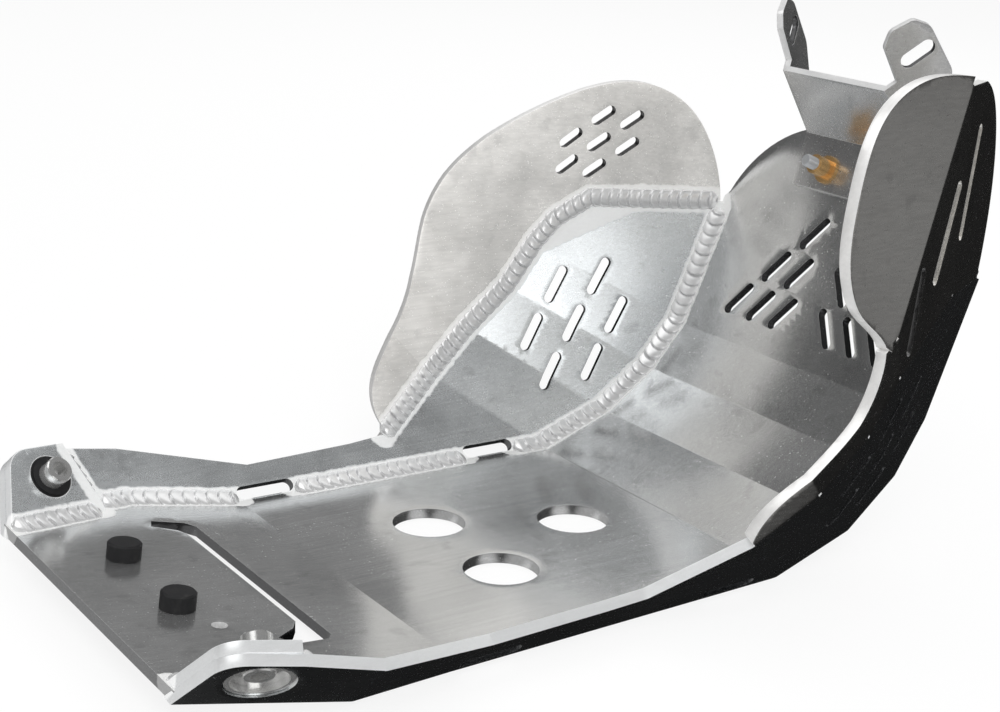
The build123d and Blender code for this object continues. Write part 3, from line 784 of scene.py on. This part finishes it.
# %% Dress the sheets
SHARP = math.radians(38)  # edges above this angle are bevelled
CREASE = math.radians(24)  # shading breaks above this angle
LEVEL, SAME_POINT = math.radians(0.6), 2e-6  # faces and points that count as one
EASED, WING_EASED = 0.0005, 0.0006  # widths of the broken edges
FLOOR_GRAIN, SIDE_GRAIN, PAD_GRAIN = 0.009, 0.005, 0.004  # longest edges after dividing
MOST_HALVINGS = 8
WELD_REACH = 40  # millimetres up to which the distance to a weld is stored
DRILLED, PLUG_LEAST, PLUG_MOST = 0.014, 0.05, 0.08  # sizes of holes, as diagonals of their boxes
# edge marks: 1 is the filed colour, partly painted highlight; -1 is painted shade on slot walls,
# -0.6 a lighter painted shade on the floor's outline
BRIGHT, PLAIN, DARK, FLOOR_RIM_SHADE = 1.0, 0.0, -1.0, -0.6  # edge marks
weld_lines = [(start * MM, end * MM) for run in all_runs for start, end, _, _ in run]


def weld_distance(points):
    """Distance from each point to the nearest weld line of either side."""
    folded = points.copy()
    folded[:, 1] = np.abs(folded[:, 1])
    best = np.full(len(points), 1e9)
    for start, end in weld_lines:
        along = end - start
        t = np.clip(((folded - start) @ along) / (along @ along), 0, 1)
        gap = np.linalg.norm(folded - (start + t[:, None] * along), axis=1)
        best = np.minimum(best, gap)
    return best


def hole_mark(size):
    """Edge mark of a hole's wall: drilled holes pale with painted highlight, plug holes plain, slots
    painted shade.
    """
    if size < DRILLED:
        return BRIGHT
    return PLAIN if PLUG_LEAST < size < PLUG_MOST else DARK


def mark_walls(shape, eased, layer, rim):
    """Edge marks on the corners of bevels and cut walls."""
    groups = walls(shape, eased)
    outline = max(groups, key=spread)
    for wall in groups:
        tone = rim if wall is outline else hole_mark(spread(wall))
        for face in wall:
            face.smooth = True
            for corner in face.loops:
                corner[layer] = BRIGHT if face in eased else tone


def divide(shape, grain):
    """Triangles with no edge longer than the grain."""
    bmesh.ops.triangulate(shape, faces=shape.faces)
    for _ in range(MOST_HALVINGS):
        long_edges = [e for e in shape.edges if e.calc_length() > grain]
        if not long_edges:
            break
        bmesh.ops.subdivide_edges(shape, edges=long_edges, cuts=1)
        bmesh.ops.triangulate(shape, faces=[f for f in shape.faces if len(f.verts) > 3])


def dressed(name, node, bevel, grain, slot, rim=BRIGHT):
    shape = bmesh.new()
    shape.from_mesh(nodes[node].data)
    bmesh.ops.remove_doubles(shape, verts=shape.verts, dist=SAME_POINT)
    bmesh.ops.dissolve_limit(shape, angle_limit=LEVEL, verts=shape.verts, edges=shape.edges)
    layer = shape.loops.layers.float.new("edge")
    sharp = [e for e in shape.edges if len(e.link_faces) == 2 and e.calc_face_angle(0) > SHARP]
    eased = bmesh.ops.bevel(
        shape, geom=sharp, offset=bevel, segments=2, profile=0.6, affect="EDGES", clamp_overlap=True)
    for face in shape.faces:
        face.smooth = False
    mark_walls(shape, set(eased["faces"]), layer, rim)
    divide(shape, grain)
    mesh = bpy.data.meshes.new(name)
    shape.to_mesh(mesh)
    shape.free()
    points = np.zeros(len(mesh.vertices) * 3, np.float32)
    mesh.vertices.foreach_get("co", points)
    gap = weld_distance(points.reshape(-1, 3).astype(float))
    store(mesh, "gap", np.clip(gap / MM, 0, WELD_REACH))
    mesh.set_sharp_from_angle(angle=CREASE)
    piece = placed(name, mesh)
    piece.data.materials.append(finish[slot])
    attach(piece, "root")
    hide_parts(node)
    print(name, "triangles", len(mesh.polygons))


# the floor's outline wall gets a lighter painted shade
dressed("floor_sheet", "base_plate", EASED, FLOOR_GRAIN, "floor_aluminium", FLOOR_RIM_SHADE)
for hand in ("left", "right"):
    dressed(f"rail_sheet_{hand}", f"side_rail_{hand}", EASED, SIDE_GRAIN, "panel_aluminium")
    dressed(f"wing_sheet_{hand}", f"wing_{hand}", WING_EASED, SIDE_GRAIN, "wing_aluminium")
    dressed(f"pad_sheet_{hand}", f"mount_pad_{hand}", EASED, PAD_GRAIN, "panel_aluminium")
dressed("bracket_sheet", "front_bracket", EASED, SIDE_GRAIN, "bracket_aluminium")

# %% [markdown]
# ## Threaded screws
# The two screws of the bracket show their threaded tips. A thread is a ridge that winds along a
# rod, so the rod is made of rings whose radius follows a saw-tooth of height and angle. Bump alone
# would leave the outline smooth. The flange and the hexagon are turned and bevelled below the sheet.

# %% Make the screws
screw_foot, screw_axis = rows((255.958, 23.3, 187.8), (-0.92388, 0.0, 0.382683))
thread_pitch, thread_radius, thread_depth = 1.25, 4.0, 0.62
thread_low, thread_high, rings_per_turn, ring_points = -7.6, 25.5, 8, 28
tip_length, tip_chamfer, head_bevel, screw_crease = 1.2, 1.1, 0.35, math.radians(40)
flange, hexagon = (48, 8.0, -7.6, -6.0), (6, 7.5, -12.9, -7.6)  # sides, radius, low and high end


def screw_rings():
    """Rings of the threaded rod, from under the flange to the tip, in millimetres."""
    rings = []
    for h in np.arange(thread_low, thread_high + 0.01, thread_pitch / rings_per_turn):
        tip = min(1.0, (thread_high - h) / tip_length)
        ring = []
        for k in range(ring_points):
            turn = 2 * math.pi * k / ring_points
            wave = abs(((h / thread_pitch - k / ring_points) % 1.0) * 2 - 1)
            chamfer = thread_radius - tip_chamfer + tip_chamfer * tip
            radius = min(thread_radius - thread_depth * wave, chamfer)
            ring.append((radius * math.cos(turn), radius * math.sin(turn), h))
        rings.append(ring)
    return rings


def screw(name, node, side):
    shape = bmesh.new()
    rings = [[shape.verts.new(p) for p in ring] for ring in screw_rings()]
    for lower, upper in zip(rings, rings[1:]):
        for k in range(len(lower)):
            j = (k + 1) % len(lower)
            shape.faces.new((lower[k], lower[j], upper[j], upper[k]))
    shape.faces.new(rings[0][::-1])
    shape.faces.new(rings[-1])
    for sides, radius, low, high in (flange, hexagon):
        made = bmesh.ops.create_cone(
            shape, cap_ends=True, segments=sides, radius1=radius, radius2=radius, depth=high - low,
            matrix=Matrix.Translation((0, 0, (low + high) / 2)))
        rims = {e for v in made["verts"] for e in v.link_edges}
        bmesh.ops.bevel(
            shape, geom=list(rims), offset=head_bevel, segments=2, profile=0.5, affect="EDGES")
    mirror = np.array((1, side, 1))
    axis = Vector(screw_axis * mirror)
    across = Vector((0, 1, 0))
    place = Matrix((across.cross(axis), across, axis)).transposed().to_4x4()
    place.translation = Vector(screw_foot * mirror)
    shape.transform(Matrix.Scale(MM, 4) @ place)
    bmesh.ops.recalc_face_normals(shape, faces=shape.faces)
    mesh = bpy.data.meshes.new(name)
    shape.to_mesh(mesh)
    shape.free()
    mesh.shade_smooth()
    mesh.set_sharp_from_angle(angle=screw_crease)
    piece = placed(name, mesh)
    piece.data.materials.append(finish["zinc_steel"])
    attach(piece, "root")
    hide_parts(node)
    print(name, "triangles", sum(len(p.vertices) - 2 for p in mesh.polygons))


screw("screw_left", "bracket_bolt_left", 1)
screw("screw_right", "bracket_bolt_right", -1)
